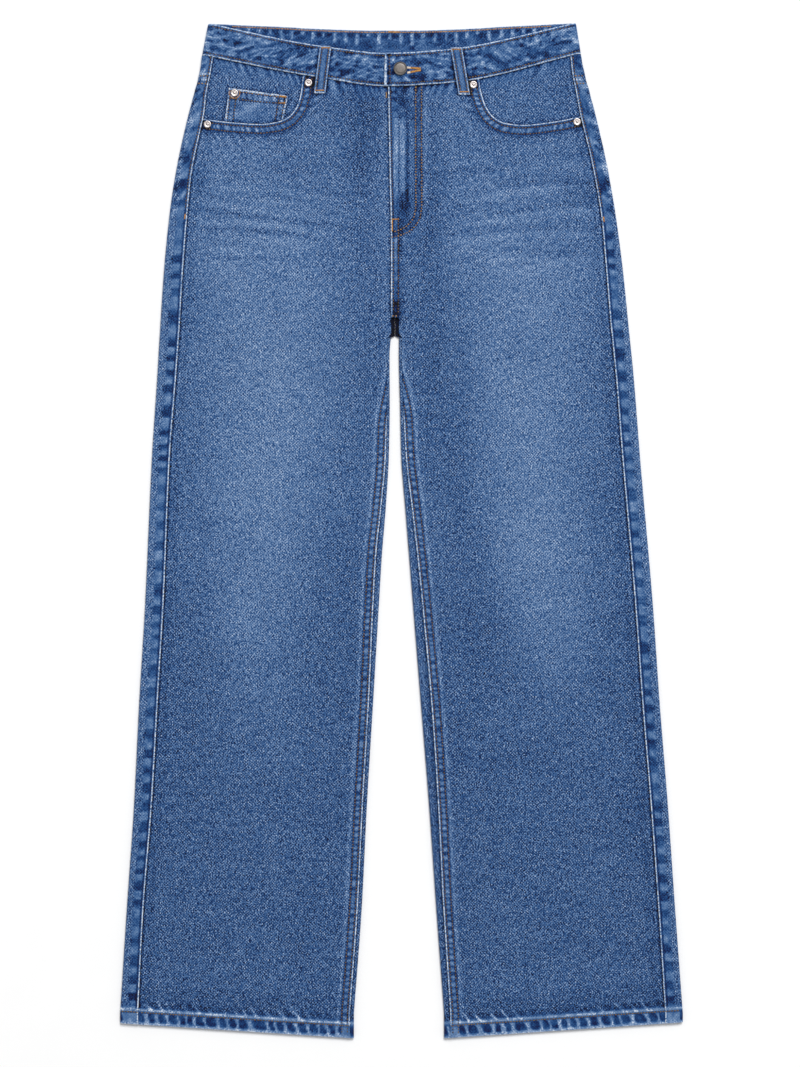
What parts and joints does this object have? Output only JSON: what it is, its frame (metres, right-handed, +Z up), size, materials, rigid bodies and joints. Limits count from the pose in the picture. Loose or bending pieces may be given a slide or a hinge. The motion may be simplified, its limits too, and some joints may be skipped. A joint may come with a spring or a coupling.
{
  "type": "wide-leg jeans, laid flat",
  "caption": "Wide-leg high-waist denim jeans laid flat with the front up, with scooped pockets, a buttoned lapped waistband, belt loops and a covered fly.",
  "frame": {"origin": "middle of the garment's plan on the surface that it lies on", "axes": "+X towards the wearer's left side, +Y from the hems to the waist, +Z up from the surface, out of the front"},
  "size_m": [0.5966, 1.0759, 0.0124],
  "materials": {
    "denim": "mid-blue stonewashed denim twill with lighter thighs",
    "denim_back": "mid-blue denim twill, a little darker",
    "denim_band": "doubled denim with topstitching",
    "button_metal": "antique grey metal",
    "rivet_metal": "worn pale copper"
  },
  "bodies": {
    "root": {"front_left": "denim", "front_right": "denim", "coin_pocket": "denim", "back_pocket_left": "denim", "back_pocket_right": "denim", "back_left": "denim_back", "back_right": "denim_back", "yoke_left": "denim_back", "yoke_right": "denim_back", "pocket_facing_left": "denim_back", "pocket_facing_right": "denim_back", "waistband": "denim_band", "belt_loop_front_left": "denim_band", "belt_loop_front_right": "denim_band", "belt_loop_back_left": "denim_band", "belt_loop_back_center": "denim_band", "belt_loop_back_right": "denim_band", "button": "button_metal", "rivet_coin": "rivet_metal", "rivet_left_inner": "rivet_metal", "rivet_left_outer": "rivet_metal", "rivet_right_inner": "rivet_metal", "rivet_right_outer": "rivet_metal"}
  },
  "joints": []
}
